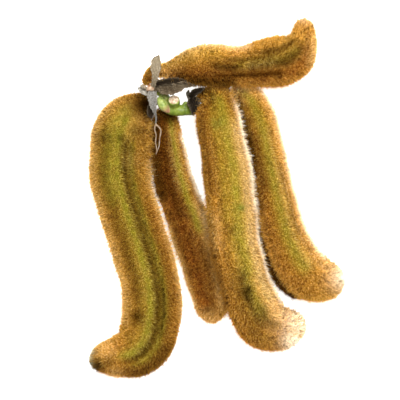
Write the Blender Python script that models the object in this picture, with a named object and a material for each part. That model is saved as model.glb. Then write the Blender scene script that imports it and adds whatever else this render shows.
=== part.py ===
"""A picked cluster of six velvet bean pods on one green stalk, lying on a surface.

The pods run down the -Y side of the stalk, and one lies across the top. +Z is up, away from the surface that the
cluster lies on. Lengths in this file are millimetres until to_mesh() turns them into metres.
"""
import math

import bmesh
import bpy
import numpy as np

MM = 0.001                # one millimetre in metres
BOX_MIDDLE = (0.4, 0.28)  # where the middle of the whole cluster's box lies in the x and y used below

# Pods
POD_SIDES = 20            # points round a pod
POD_PITCH = 3.6           # distance between the rings along a pod
POD_FLATNESS = 0.55       # half-thickness over half-width on a pod's body
STALK_END_RADIUS = 1.6    # radius of a pod where it leaves its calyx, where its section is round
SECTION_POWER = 2.3       # 2 is an ellipse, more is a squarer section
SEED_PITCH = 15.0         # distance between two seeds along a pod
UNDERSIDE_RELIEF = 0.4    # ridges and grooves underneath, against those on top
SEED_SWELL = 0.015        # how much a seed swells the pod, as a share of its width
TIP_ROUNDNESS = 1.1       # length of a pod's round tip over its half-width there
BEAK_RADIUS = 0.7         # the dry point that the flower's style leaves on a pod's tip
BEAK_ROOT = 0.3           # how far the beak's root stands out of the tip
BEAK_LENGTH = 1.1
FLOOR_SNAP = 0.35         # what comes this close to the surface, or below it, lies flat on it

# Stalk
STALK_SIDES = 12
STALK_PITCH = 1.3         # distance between the rings along a stem

# Calyx
LOBE_THICKNESS = 0.7
LOBE_COLUMNS = 6          # faces across a lobe
LOBE_PITCH = 1.2          # distance between the rows along a lobe
LOBE_WAVE = 0.12          # height of the waves at a lobe's edges, as a share of its half-width

# The middle line of each pod from its base to its tip: x, y, z and half-width
LEFT_LINE = [
    (-21.9, 31.9, 10.6, 1.6), (-24.9, 31.5, 8.8, 4.8), (-28.9, 27.5, 7.0, 8.7), (-31.9, 21.1, 6.0, 10.1),
    (-32.8, 13.5, 6.1, 10.1), (-32.4, 6.0, 6.2, 10.2), (-30.4, -1.9, 6.5, 10.0), (-27.7, -10.4, 6.6, 10.0),
    (-25.0, -18.9, 6.5, 10.0), (-22.7, -26.8, 6.2, 10.0), (-21.6, -35.0, 6.0, 10.1), (-22.0, -41.8, 6.0, 10.1),
    (-23.7, -48.2, 5.8, 9.8), (-27.5, -52.4, 5.5, 9.1), (-33.0, -54.2, 5.2, 7.4), (-38.0, -55.0, 5.0, 5.6),
    (-42.6, -56.2, 4.8, 4.4),
]
MID_LEFT_LINE = [
    (-17.2, 31.0, 7.8, 1.6), (-17.1, 29.2, 7.0, 3.2), (-16.8, 25.5, 6.4, 4.4), (-16.4, 21.0, 5.4, 4.9),
    (-15.8, 15.5, 4.8, 5.8), (-14.6, 8.7, 4.4, 6.2), (-12.3, 0.2, 4.4, 6.6), (-9.6, -7.0, 4.6, 7.1),
    (-7.1, -14.5, 4.6, 7.2), (-4.7, -21.3, 4.4, 7.1), (-3.0, -28.2, 4.2, 6.8), (-1.6, -35.0, 4.0, 6.0),
    (-0.7, -42.8, 3.9, 4.6),
]
CENTRE_LINE = [
    (-6.4, 32.9, 15.2, 1.6), (-3.8, 33.7, 15.2, 3.2), (-0.8, 32.0, 15.6, 6.2), (0.6, 27.4, 16.8, 7.4),
    (1.5, 22.0, 17.2, 7.5), (2.7, 16.0, 17.2, 7.8), (3.9, 8.6, 17.0, 8.2), (4.9, -0.2, 16.5, 8.3),
    (5.7, -8.3, 15.5, 8.3), (6.4, -15.7, 14.1, 8.3), (8.3, -23.1, 12.8, 8.3), (10.3, -30.2, 10.8, 8.5),
    (13.0, -36.8, 8.3, 8.9), (16.4, -42.4, 6.2, 9.3), (21.6, -44.6, 5.0, 7.7), (26.6, -42.9, 4.6, 6.3),
    (29.9, -40.7, 4.5, 4.8),
]
RIGHT_LINE = [
    (5.2, 34.0, 10.8, 1.6), (8.2, 35.4, 11.7, 3.3), (11.3, 32.9, 12.6, 5.4), (13.8, 28.2, 13.2, 6.0),
    (15.7, 22.5, 13.4, 6.1), (17.2, 16.0, 13.4, 6.2), (18.5, 9.3, 13.5, 6.4), (20.0, 2.5, 13.8, 6.5),
    (21.5, -4.2, 14.2, 6.8), (23.0, -10.3, 14.7, 7.2), (25.2, -16.0, 14.9, 7.4), (28.3, -21.9, 14.9, 8.0),
    (32.7, -26.6, 14.2, 8.2), (37.9, -27.6, 13.0, 7.0), (43.4, -26.6, 11.8, 5.6),
]
BEHIND_LINE = [
    (4.4, 29.6, 8.0, 1.6), (7.0, 26.4, 6.6, 3.6), (10.4, 20.6, 5.2, 5.3), (13.8, 13.5, 4.4, 6.0),
    (16.6, 6.0, 4.2, 6.3), (19.0, -1.2, 4.2, 6.5), (20.8, -8.0, 4.3, 6.6), (22.0, -14.6, 4.2, 6.6),
    (23.3, -20.6, 4.1, 6.5), (25.2, -25.9, 4.0, 6.0), (28.4, -30.1, 3.8, 4.9), (32.6, -32.2, 3.6, 3.5),
]
TOP_LINE = [
    (-23.2, 37.7, 14.0, 1.6), (-22.7, 40.0, 15.3, 1.9), (-20.3, 42.5, 16.6, 2.2), (-16.3, 42.6, 17.6, 2.8),
    (-11.9, 43.2, 18.3, 4.5), (-7.5, 43.8, 18.8, 6.3), (-2.8, 44.2, 18.8, 7.1), (2.5, 44.0, 18.3, 6.9),
    (7.5, 44.0, 17.5, 6.5), (12.5, 44.5, 16.4, 7.3), (17.6, 45.3, 15.0, 8.1), (22.6, 46.3, 13.4, 8.5),
    (26.7, 48.8, 12.0, 7.7), (29.4, 53.3, 11.0, 4.9), (30.1, 60.6, 10.4, 2.6),
]

# Ridges (up) and grooves (down) along each pod: place across it from -1 to 1, height, width across it, and the
# share of the length where it starts and ends
LEFT_RELIEF = [(-0.08, 0.8, 0.16, 0.04, 0.92), (0.27, -1.5, 0.12, 0.12, 0.90), (0.52, 0.5, 0.12, 0.15, 0.85)]
MID_LEFT_RELIEF = [(-0.10, -0.9, 0.14, 0.10, 0.90), (0.35, 0.6, 0.18, 0.10, 0.90)]
CENTRE_RELIEF = [(-0.60, -1.0, 0.12, 0.15, 0.75), (-0.28, 0.4, 0.14, 0.15, 0.60), (-0.12, -1.4, 0.14, 0.52, 0.93),
                 (0.25, 0.5, 0.14, 0.50, 0.95)]
RIGHT_RELIEF = [(0.50, -1.4, 0.12, 0.35, 0.95), (0.12, 0.5, 0.18, 0.10, 0.90)]
BEHIND_RELIEF = [(-0.20, -0.8, 0.14, 0.10, 0.90), (0.25, 0.4, 0.16, 0.10, 0.90)]
TOP_RELIEF = [(-0.30, -1.4, 0.12, 0.36, 0.95), (0.42, -0.7, 0.12, 0.42, 0.85), (0.06, 0.5, 0.16, 0.36, 0.90)]

# Colours
NAP_GOLD = (0.43, 0.22, 0.05)
NAP_OLIVE = (0.30, 0.23, 0.05)
STALK_GREEN = (0.25, 0.42, 0.08)
CALYX_GREY = (0.36, 0.32, 0.26)
CALYX_DARK = (0.06, 0.05, 0.04)


def clear_scene():
    for item in list(bpy.data.objects):
        bpy.data.objects.remove(item, do_unlink=True)


def material(name, colour, roughness):
    """A plain finish."""
    made = bpy.data.materials.new(name)
    made.use_nodes = True
    shader = made.node_tree.nodes["Principled BSDF"]
    shader.inputs["Base Color"].default_value = (*colour, 1.0)
    shader.inputs["Roughness"].default_value = roughness
    shader.inputs["Metallic"].default_value = 0.0
    return made


def to_mesh(name, points, faces, finish):
    """An object from points in millimetres, with its faces turned outward."""
    mesh = bpy.data.meshes.new(name)
    mesh.from_pydata([((x - BOX_MIDDLE[0]) * MM, (y - BOX_MIDDLE[1]) * MM, z * MM) for x, y, z in points], [], faces)
    shape = bmesh.new()
    shape.from_mesh(mesh)
    bmesh.ops.recalc_face_normals(shape, faces=shape.faces)
    bmesh.ops.triangulate(shape, faces=shape.faces)
    shape.to_mesh(mesh)
    shape.free()
    mesh.shade_smooth()
    mesh.materials.append(finish)
    made = bpy.data.objects.new(name, mesh)
    bpy.context.collection.objects.link(made)
    return made


def smooth_line(controls, samples=40):
    """Dense points on a smooth curve through the controls, with the length along it at each point."""
    controls = np.array(controls, float)
    padded = np.vstack([2 * controls[0] - controls[1], controls, 2 * controls[-1] - controls[-2]])
    share = np.linspace(0.0, 1.0, samples, endpoint=False)[:, None]
    pieces = []
    for a, b, c, d in zip(padded[:-3], padded[1:-2], padded[2:-1], padded[3:]):
        pieces.append(0.5 * (2 * b + (c - a) * share + (2 * a - 5 * b + 4 * c - d) * share ** 2
                             + (3 * b - a - 3 * c + d) * share ** 3))
    dense = np.vstack(pieces + [controls[-1:]])
    steps = np.linalg.norm(np.diff(dense[:, :3], axis=0), axis=1)
    return dense, np.concatenate([[0.0], np.cumsum(steps)])


def at_lengths(dense, along, wanted):
    """The curve's values at the wanted lengths, and its directions there."""
    values = np.stack([np.interp(wanted, along, dense[:, k]) for k in range(dense.shape[1])], axis=1)
    slopes = np.gradient(dense[:, :3], along + np.arange(len(along)) * 1e-9, axis=0)
    ahead = np.stack([np.interp(wanted, along, slopes[:, k]) for k in range(3)], axis=1)
    return values, ahead / np.linalg.norm(ahead, axis=1, keepdims=True)


def fade(value, start, end, soft=0.06):
    """1 between start and end, falling smoothly to 0 outside them."""
    rise = np.clip((value - start) / soft, 0.0, 1.0)
    fall = np.clip((end - value) / soft, 0.0, 1.0)
    return (rise * rise * (3 - 2 * rise)) * (fall * fall * (3 - 2 * fall))


def dome(distance, radius):
    """The width left at a distance from a round end, as a share of the full width."""
    inside = np.clip(1.0 - np.minimum(distance, radius) / radius, 0.0, 1.0)
    return np.sqrt(np.maximum(1.0 - inside ** 2, 0.0))


def across_frame(ahead, hint=(0.0, 0.0, 1.0)):
    """For each direction ahead, the sideways direction and the one over it."""
    side = np.cross(hint, ahead)
    side /= np.linalg.norm(side, axis=1, keepdims=True)
    return side, np.cross(ahead, side)


def closed_skin(name, rings, start, end, finish):
    """An object from rings of points, closed by a point at each end."""
    count, sides = rings.shape[:2]
    points = np.vstack([rings.reshape(-1, 3), start, end])
    faces = []
    for k in range(count - 1):
        for j in range(sides):
            a, b = k * sides + j, k * sides + (j + 1) % sides
            faces.append((a, b, b + sides, a + sides))
    last = (count - 1) * sides
    for j in range(sides):
        faces.append((len(points) - 2, (j + 1) % sides, j))
        faces.append((len(points) - 1, last + j, last + (j + 1) % sides))
    points[:, 2] = np.where(points[:, 2] < FLOOR_SNAP, 0.0, points[:, 2])
    return to_mesh(name, points, faces, finish)


def ring_places(length, base_round, tip_round):
    """Lengths of the rings along a pod: close at both round ends, even between them."""
    base = [base_round * (1 - math.cos(math.radians(a))) for a in (30, 60)]
    count = max(2, round((length - base_round - tip_round) / POD_PITCH))
    body = np.linspace(base_round, length - tip_round, count + 1)
    tip = [length - tip_round * (1 - math.sin(math.radians(a))) for a in (25, 48, 68, 82)]
    return np.array(base + list(body) + tip)


def raised_height(relief, across, share):
    """Height of a pod's ridges and grooves at a place across it and a share of its length."""
    height = 0.0
    for spot, rise, spread, start, end in relief:
        height += rise * math.exp(-((across - spot) / spread) ** 2) * fade(share, start, end)
    return height


def pod(name, line, relief, finish):
    """A closed pod round its middle line, with its beak at the tip and a flat spot where it meets the surface."""
    dense, along = smooth_line(line)
    length = along[-1]
    tip_round = line[-1][3] * TIP_ROUNDNESS
    places = ring_places(length, STALK_END_RADIUS, tip_round)
    centre, ahead = at_lengths(dense, along, places)
    side, over = across_frame(ahead)
    ends = dome(places, STALK_END_RADIUS) * dome(length - places, tip_round)
    half_width = centre[:, 3] * (1.0 + SEED_SWELL * np.cos(2 * math.pi * places / SEED_PITCH))
    half_depth = POD_FLATNESS * half_width + (1 - POD_FLATNESS) * STALK_END_RADIUS
    turns = 2 * math.pi * np.arange(POD_SIDES) / POD_SIDES
    rings = []
    for k, place in enumerate(places):
        ring = []
        for turn in turns:
            across = math.copysign(abs(math.cos(turn)) ** (2 / SECTION_POWER), math.cos(turn))
            up = math.copysign(abs(math.sin(turn)) ** (2 / SECTION_POWER), math.sin(turn))
            share = abs(up) * (1.0 if up > 0 else UNDERSIDE_RELIEF)
            depth = half_depth[k] + raised_height(relief, across, place / length) * share * ends[k]
            ring.append(centre[k, :3] + (side[k] * across * half_width[k] + over[k] * up * depth) * ends[k])
        rings.append(ring)
    tip = dense[-1, :3]
    for out, radius in ((BEAK_ROOT, BEAK_RADIUS), (BEAK_LENGTH, BEAK_RADIUS / 2)):
        rings.append([tip + ahead[-1] * out + radius * (side[-1] * math.cos(turn) + over[-1] * math.sin(turn))
                      for turn in turns])
    return closed_skin(name, np.array(rings), dense[0, :3], tip + ahead[-1] * (BEAK_LENGTH + BEAK_ROOT), finish)


def tube(name, line, finish, bulge=0.35):
    """A closed round stem along a line of x, y, z and radius. Its ends stand out by bulge times their radius."""
    dense, along = smooth_line(line, 8)
    count = max(3, round(along[-1] / STALK_PITCH))
    centre, ahead = at_lengths(dense, along, np.linspace(0.0, along[-1], count))
    hint = (0.0, 0.0, 1.0) if abs(ahead[:, 2]).max() < 0.9 else (0.0, 1.0, 0.0)
    side, over = across_frame(ahead, hint)
    rings = []
    for k in range(count):
        rings.append([centre[k, :3] + centre[k, 3] * (side[k] * math.cos(turn) + over[k] * math.sin(turn))
                      for turn in 2 * math.pi * np.arange(STALK_SIDES) / STALK_SIDES])
    start = centre[0, :3] - ahead[0] * centre[0, 3] * bulge
    end = centre[-1, :3] + ahead[-1] * centre[-1, 3] * bulge
    return closed_skin(name, np.array(rings), start, end, finish)


def lobe(name, line, cup, finish):
    """A dry calyx lobe: a thin blade that faces up, along a line of x, y, z and half-width, cup millimetres deep."""
    dense, along = smooth_line(line, 8)
    count = max(4, round(along[-1] / LOBE_PITCH))
    centre, ahead = at_lengths(dense, along, np.linspace(0.0, along[-1], count))
    side, out = across_frame(ahead)
    points = []
    for lift in (0.5, -0.5):
        for k in range(count):
            for j in range(LOBE_COLUMNS + 1):
                across = 2.0 * j / LOBE_COLUMNS - 1.0
                wave = LOBE_WAVE * math.sin(3.0 * k) * across * centre[k, 3]
                height = lift * LOBE_THICKNESS - cup * (1 - across ** 2) + wave
                points.append(centre[k, :3] + side[k] * across * centre[k, 3] + out[k] * height)
    columns = LOBE_COLUMNS + 1
    half = count * columns
    faces = []
    for k in range(count - 1):
        for j in range(LOBE_COLUMNS):
            a = k * columns + j
            faces.append((a, a + 1, a + columns + 1))
            faces.append((a, a + columns + 1, a + columns))
            faces.append((half + a, half + a + columns + 1, half + a + 1))
            faces.append((half + a, half + a + columns, half + a + columns + 1))
    border = [(k * columns, (k + 1) * columns) for k in range(count - 1)]
    border += [((count - 1) * columns + j, (count - 1) * columns + j + 1) for j in range(LOBE_COLUMNS)]
    border += [((k + 1) * columns + LOBE_COLUMNS, k * columns + LOBE_COLUMNS) for k in range(count - 1)]
    border += [(j + 1, j) for j in range(LOBE_COLUMNS)]
    for a, b in border:
        faces.append((a, b, half + b, half + a))
    return to_mesh(name, points, faces, finish)


def fuse(name, pieces, finish):
    """One object from pieces that are sunk into each other."""
    first, rest = pieces[0], pieces[1:]
    group = bpy.data.collections.new(name + "_pieces")
    for piece in rest:
        group.objects.link(piece)
    union = first.modifiers.new("join", "BOOLEAN")
    union.operation = "UNION"
    union.operand_type = "COLLECTION"
    union.collection = group
    union.solver = "EXACT"
    bpy.context.view_layer.update()
    seen = first.evaluated_get(bpy.context.evaluated_depsgraph_get())
    mesh = bpy.data.meshes.new_from_object(seen)
    mesh.name = name
    mesh.materials.clear()
    mesh.materials.append(finish)
    made = bpy.data.objects.new(name, mesh)
    for piece in pieces:
        bpy.data.objects.remove(piece, do_unlink=True)
    bpy.data.collections.remove(group)
    bpy.context.collection.objects.link(made)
    return made


def build_pods(gold, olive):
    pod("pod_left", LEFT_LINE, LEFT_RELIEF, olive)
    pod("pod_mid_left", MID_LEFT_LINE, MID_LEFT_RELIEF, gold)
    pod("pod_centre", CENTRE_LINE, CENTRE_RELIEF, olive)
    pod("pod_right", RIGHT_LINE, RIGHT_RELIEF, olive)
    pod("pod_behind", BEHIND_LINE, BEHIND_RELIEF, gold)
    pod("pod_top", TOP_LINE, TOP_RELIEF, gold)


def build_stalk(green):
    """The green stalk: a cross arm under the pods' bases, the cut end that faces up, a bud and short pod stalks."""
    arm = tube("arm", [(-17.2, 30.6, 12.6, 1.5), (-15.5, 29.9, 13.0, 1.9), (-12.5, 29.4, 13.2, 1.9),
                       (-9.8, 29.4, 12.9, 1.8), (-7.8, 29.4, 11.2, 1.5), (-4.5, 30.5, 9.2, 1.4),
                       (-0.6, 32.4, 8.7, 1.4), (2.2, 33.5, 9.3, 1.2)], green)
    cut_end = tube("cut_end", [(-13.6, 30.2, 12.6, 1.7), (-13.9, 31.6, 14.4, 1.9), (-14.1, 32.8, 16.2, 2.0)],
                   green, 0.1)
    to_top = tube("to_top", [(-15.2, 31.0, 13.6, 1.2), (-17.0, 33.4, 14.2, 1.2), (-18.6, 34.9, 14.0, 1.1),
                             (-19.8, 35.4, 13.6, 1.0)], green)
    to_left = tube("to_left", [(-17.4, 33.4, 13.4, 1.1), (-19.0, 33.0, 12.4, 1.1)], green)
    to_mid_left = tube("to_mid_left", [(-16.3, 31.0, 12.4, 1.3), (-17.0, 32.5, 11.4, 1.1), (-17.2, 33.2, 10.3, 1.0)],
                       green)
    to_centre = tube("to_centre", [(-10.8, 30.0, 13.2, 1.3), (-9.6, 31.8, 13.8, 1.2)], green)
    to_behind = tube("to_behind", [(-1.2, 32.0, 8.8, 1.2), (1.6, 30.8, 8.5, 1.1)], green)
    bud = tube("bud", [(-18.9, 33.6, 14.6, 0.8), (-18.3, 32.4, 15.2, 1.5), (-17.4, 31.0, 15.2, 1.7),
                       (-16.5, 29.6, 14.8, 1.3), (-16.0, 28.9, 14.6, 0.6)], green)
    return fuse("rachis", [arm, cut_end, to_top, to_left, to_mid_left, to_centre, to_behind, bud], green)


def cup(name, base, mouth, radius, finish):
    """The short closed cup of a calyx, from the pod's stalk to the pod."""
    middle = [(a + b) / 2 for a, b in zip(base, mouth)]
    return tube(name, [(*base, radius * 0.75), (*middle, radius), (*mouth, radius)], finish, 0.05)


def build_calyxes(grey, dark):
    """The dry calyx at each pod's base: a cup, and the lobes that have not fallen off."""
    fuse("calyx_top", [
        cup("cup", (-21.2, 35.9, 13.3), (-22.2, 36.5, 13.4), 1.1, grey),
        tube("scar", [(-21.5, 36.3, 14.0, 0.8), (-21.4, 36.5, 15.2, 0.95), (-21.5, 36.6, 15.9, 0.8)], grey),
        lobe("upright", [(-21.3, 36.8, 15.6, 0.8), (-20.6, 38.6, 18.0, 0.9), (-20.3, 41.4, 19.9, 1.6),
                         (-20.1, 44.0, 20.4, 1.9), (-19.4, 46.2, 20.6, 1.2), (-18.7, 47.7, 20.6, 0.3)], 0.4, grey),
        lobe("wide", [(-21.2, 36.6, 15.6, 1.0), (-19.0, 37.6, 17.6, 2.0), (-16.0, 37.1, 19.4, 2.3),
                      (-13.2, 36.4, 20.6, 1.8), (-10.5, 37.2, 21.0, 1.3), (-8.5, 37.2, 21.0, 0.7),
                      (-6.2, 36.9, 20.6, 0.3)], 0.6, grey),
        lobe("hanging", [(-21.5, 36.2, 15.4, 1.1), (-21.7, 34.8, 15.4, 1.4), (-21.6, 33.0, 15.2, 1.5),
                         (-21.4, 30.4, 14.4, 1.1), (-20.6, 27.4, 13.0, 0.6), (-20.0, 24.2, 11.8, 0.4)], 0.3, grey),
        tube("style", [(-20.0, 25.0, 11.9, 0.35), (-19.0, 21.7, 11.9, 0.35), (-20.4, 19.3, 12.2, 0.35),
                       (-18.9, 17.0, 12.6, 0.35), (-20.1, 14.3, 12.4, 0.3)], grey),
    ], grey)
    fuse("calyx_left", [
        cup("cup", (-20.0, 32.8, 11.9), (-21.1, 32.3, 11.1), 1.4, grey),
        lobe("torn", [(-20.9, 32.6, 12.2, 1.0), (-22.4, 33.4, 12.8, 1.2), (-24.0, 34.3, 13.2, 1.1),
                      (-25.3, 35.6, 13.5, 0.9), (-25.9, 37.0, 13.7, 0.4)], 0.2, grey),
    ], grey)
    fuse("calyx_centre", [
        cup("cup", (-8.6, 32.7, 14.4), (-7.2, 32.8, 15.0), 1.4, dark),
        lobe("upper", [(-8.6, 33.4, 15.6, 1.2), (-7.4, 35.0, 18.0, 1.1), (-5.4, 35.9, 19.4, 0.9),
                       (-3.8, 36.5, 20.1, 0.3)], 0.2, dark),
        lobe("side", [(-8.4, 33.4, 15.6, 1.1), (-9.3, 35.0, 15.9, 0.7), (-9.0, 36.2, 16.0, 0.3)], 0.1, dark),
        lobe("lower", [(-8.3, 33.4, 15.7, 1.3), (-8.3, 31.5, 16.8, 1.3), (-8.0, 29.6, 17.0, 0.8),
                       (-7.8, 27.6, 16.8, 0.3)], 0.2, dark),
    ], dark)
    fuse("calyx_right", [
        cup("cup", (3.1, 33.7, 9.8), (4.4, 33.9, 10.5), 1.4, grey),
        lobe("upper", [(3.3, 34.3, 11.3, 1.0), (3.3, 36.4, 13.2, 0.9), (3.6, 38.0, 13.7, 0.3)], 0.2, grey),
    ], grey)
    fuse("calyx_behind", [
        cup("cup", (2.4, 30.5, 8.4), (3.5, 30.0, 8.2), 1.4, dark),
        lobe("lower", [(2.6, 29.6, 8.6, 1.0), (1.4, 27.6, 9.0, 0.9), (1.2, 25.2, 9.0, 0.3)], 0.2, dark),
    ], dark)
    fuse("calyx_mid_left", [
        cup("cup", (-17.25, 32.5, 8.7), (-17.25, 31.7, 8.1), 1.2, grey),
        lobe("side", [(-16.4, 32.1, 8.8, 0.9), (-14.8, 31.8, 9.1, 0.9), (-12.9, 30.8, 8.9, 0.3)], 0.2, grey),
    ], grey)


def main():
    clear_scene()
    gold = material("nap_gold", NAP_GOLD, 0.9)
    olive = material("nap_olive", NAP_OLIVE, 0.9)
    green = material("stalk_green", STALK_GREEN, 0.5)
    grey = material("calyx_grey", CALYX_GREY, 0.8)
    dark = material("calyx_dark", CALYX_DARK, 0.8)
    build_pods(gold, olive)
    build_stalk(green)
    build_calyxes(grey, dark)


main()
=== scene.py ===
"""The looks of a picked cluster of velvet bean pods, lying on a pale surface and seen from straight above.

Each pod is a closed wall under a nap of separate hairs. The stalk and the dry calyx lobes are finer meshes along the
same lines as the solids that they replace. Lengths are millimetres until to_object() turns them into metres.
"""

import math

import bpy
import numpy as np
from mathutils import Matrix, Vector, kdtree


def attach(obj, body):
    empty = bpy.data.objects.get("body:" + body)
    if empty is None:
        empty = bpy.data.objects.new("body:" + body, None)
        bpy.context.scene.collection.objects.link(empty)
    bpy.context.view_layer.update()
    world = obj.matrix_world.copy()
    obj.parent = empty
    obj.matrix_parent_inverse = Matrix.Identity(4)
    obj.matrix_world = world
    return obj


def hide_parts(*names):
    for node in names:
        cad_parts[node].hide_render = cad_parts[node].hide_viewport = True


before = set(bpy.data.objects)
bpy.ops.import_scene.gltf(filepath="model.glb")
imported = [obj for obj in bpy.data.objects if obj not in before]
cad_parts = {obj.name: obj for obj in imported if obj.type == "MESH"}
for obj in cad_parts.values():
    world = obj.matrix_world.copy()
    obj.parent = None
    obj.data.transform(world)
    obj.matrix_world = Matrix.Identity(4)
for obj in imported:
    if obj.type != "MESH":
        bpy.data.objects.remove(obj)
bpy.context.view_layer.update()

MM = 0.001
BOX_MIDDLE = np.array([0.4, 0.28, 0.0])  # the middle of the cluster's box in the x and y used below

# Camera: straight above. A pixel of the photo is PIXEL wide at SCALE_HEIGHT over the surface
CAMERA_PLACE = (-5.67, -1.13, 700.0)
CAMERA_SENSOR = 36.0
SCALE_HEIGHT = 8.0
PHOTO_PIXELS = 400
PIXEL = 0.34

# Pods, as in the solids
POD_FLATNESS = 0.55  # thickness over width
STALK_END_RADIUS = 1.6
SECTION_POWER = 2.3
SEED_PITCH = 15.0
UNDERSIDE_RELIEF = 0.4
SEED_SWELL = 0.015
TIP_ROUNDNESS = 1.1
FADE = 0.06  # share of a pod's length in which ridges fade out at their ends, and so do bands of colour

# The beak at a pod's tip, within the solid's, and the end of the wall at the pod's base
BEAK_RADIUS = 0.4
BEAK_LENGTH = 0.5
BEAK_RINGS = ((-0.6, 1.3), (0, 1), (0.3, 0.6))  # place from the pod's tip, and size
BASE_BULGE = 0.3

# Nap
WALL_DEPTH = 0.75  # how far the pod's wall lies under the solid's surface
WALL_SHARE = 0.3  # its most, over the pod's half-width
GROOVE_DEPTH = 0.3  # how much deeper it lies in a groove, over the groove's depth
WALL_RINGS = 84
WALL_SIDES = 64
NAP_RINGS = 260
NAP_SIDES = 120
UNDERSIDE = -0.6  # upward part of the normal, below which the nap is thinner
UNDERSIDE_HAIRS = 0.45  # how dense it is there
ROOT_DEPTH = 0.1  # how far the roots lie inside the wall
HAIR_PROUD = 1.15  # how much longer a full hair is than its root is deep
HAIR_SHORTEST = 0.41  # length of the shortest hairs over that of a full hair
HAIR_SPREAD = 1.45  # the longest hairs over the shortest, guard hairs apart
HAIR_WIDTH = 0.105
HAIR_WIDTHS = (0.75, 1.25)
HAIR_TWIST = 0.35
HAIR_LEAN = 0.24  # lean of the hairs to the pod's tip, against their height
HAIR_STRAY = 0.15  # random lean of each hair
HAIR_LOWEST = 0.03  # the least height of a hair's tip above the floor
FLAT_SHADE = 0.7  # shares of a hair's own face and of the pod's surface in its shading
ROUND_SHADE = 0.6
TUFT_STRAY = 0.14  # random lean of each tuft
TUFT_AREA = 0.11  # surface for each tuft, in square millimetres
TUFT_PULL = 0.50  # how far the tips close up in a tuft
TUFT_HEIGHTS = (0.85, 1.1)  # least and most
TUFT_TONE = 0.72  # share of a hair's tone that it has from its tuft
GUARD_SHARE = 0.13  # share of longer, broader hairs, which stay out of the tufts
GUARD_LENGTH = 1.15  # least length of a guard hair over that of another hair
GUARD_REACH = 1.3  # how much longer the longest ones are
GUARD_RARITY = 1.4  # the higher, the fewer long ones
GUARD_FLANK = 0.1  # how much longer guard hairs are on the flanks
GUARD_WIDTH = 1.7
GUARD_TONES = (0.4, 0.85)
BASE_SHARE = 0.05  # share of the pod in which the nap grows to its full length
BASE_LENGTH = 0.55  # length at the pod's base over that of the full nap
TONE_CONTRAST = 1.2  # how much the tones of the hairs differ
TONE_CALM = 0.4  # how much less in olive and light places
PALE_FALL = 5.0  # how fast the pale colour fades out below the flanks
PALE_SHORTER = 0.2  # how much less pale hairs stand proud
PALE_BROADER = 0.5
PALE_TONE = 0.75
PALE_CALM = 0.6  # how near pale hairs come to that tone
RUST_FALL = 2.2  # how fast the rusty colour fades out away from the outline
STREAK_SHARE = 0.3  # share of the tufts that stay brown in a rusty pale tip
STREAK_PALE = 0.1

# Calyx lobes
LOBE_THICKNESS = 0.7
LOBE_WAVE = 0.12
LOBE_WAVE_PITCH = 1.2  # distance in which the wave turns by 3 radians
LOBE_COLUMNS = 22
LOBE_PITCH = 0.28
LOBE_BORDER = ((3.1, 0.07), (1.3, 0.07), (0.6, 0.06))  # waves of a lobe's border: length and depth
LOBE_CREASES = ((0.10, 7.0, 2.1), (0.08, 13.0, -3.7))  # height, and turns across and along a lobe
VEIN_HEIGHT = 0.10
VEIN_TURNS = 3.5
TUBE_BULGE = 0.5
TUBE_SIDES = 14
TUBE_PITCH = 0.25

# Stalk
STEM_SIDES = 28
STEM_PITCH = 0.4
STALK_GRAIN = 0.24  # size of the stalk's faces
STALK_RIPPLES = ((0.05, 2.2, 5), (0.03, 0.9, 6))  # height, size and seed
CUT_RIPPLE = (0.12, 0.8, 7)
JOINT_DEPTH = 0.16
JOINT_WIDTH = 0.22

# Studio: lamps with their places, sizes and powers, in metres and watts
LAMPS = (("key", (0.15, 0.30, 1.0), 0.6, 32.5), ("fill", (-0.6, -0.3, 0.7), 0.8, 2.0))
SKY_STRENGTH = 0.54
FLOOR_REACH = 3000.0
FLOOR_HEIGHT = -0.05
FLOOR_GLOW = 0.9

# Colours, as they look on a screen: of the nap from a hair's root, 0, to its tip, 1, and of the wall along its grain
# The nap darkens toward a hair's root partly as painted shade deep in the nap. The light colours of nap and wall are
# painted light.
NAP_PLACES = (0.0, 0.35, 0.7, 1.0)
NAP_COLOURS = {
    "gold": [(50, 28, 4), (140, 94, 24), (224, 168, 66), (252, 216, 138)],
    "brown": [(36, 18, 3), (104, 58, 12), (184, 112, 37), (236, 172, 92)],
    "light": [(90, 58, 13), (196, 144, 58), (250, 208, 126), (255, 242, 200)],
    "olive": [(52, 46, 8), (132, 116, 29), (206, 190, 66), (244, 234, 128)],
}
# Pale: pale hairs at the tips, and painted highlight along the lit edges
NAP_PALE = ((0.0, (180, 156, 100)), (0.35, (244, 232, 204)), (0.8, (255, 250, 240)), (1.0, (254, 246, 230)))
NAP_RUST = ((0.3, (253, 244, 226)), (0.65, (196, 128, 66)))
WALL_PLACES = (0.35, 0.65)
WALL_COLOURS = {
    "gold": [(88, 54, 12), (150, 100, 31)],
    "brown": [(58, 30, 8), (108, 62, 20)],
    "light": [(140, 96, 36), (206, 158, 82)],
    "olive": [(88, 78, 15), (146, 136, 41)],
}
# What the dark places (painted shade), the black places (painted deep shadow) and the tones multiply a colour by
DARKNESS = {"painted_shade": (0.24, 0.215, 0.15, 1.0), "painted_deep_shadow": (0.12, 0.10, 0.08, 1.0)}
TONES = ((0.1, (0.16, 0.13, 0.09, 1.0)), (0.5, (0.82, 0.80, 0.76, 1.0)), (0.9, (1.5, 1.5, 1.46, 1.0)))
PATCH_SIZE = 2.5  # how coarse the uneven borders of the colours are
PATCH_LEAST = 0.45

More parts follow.
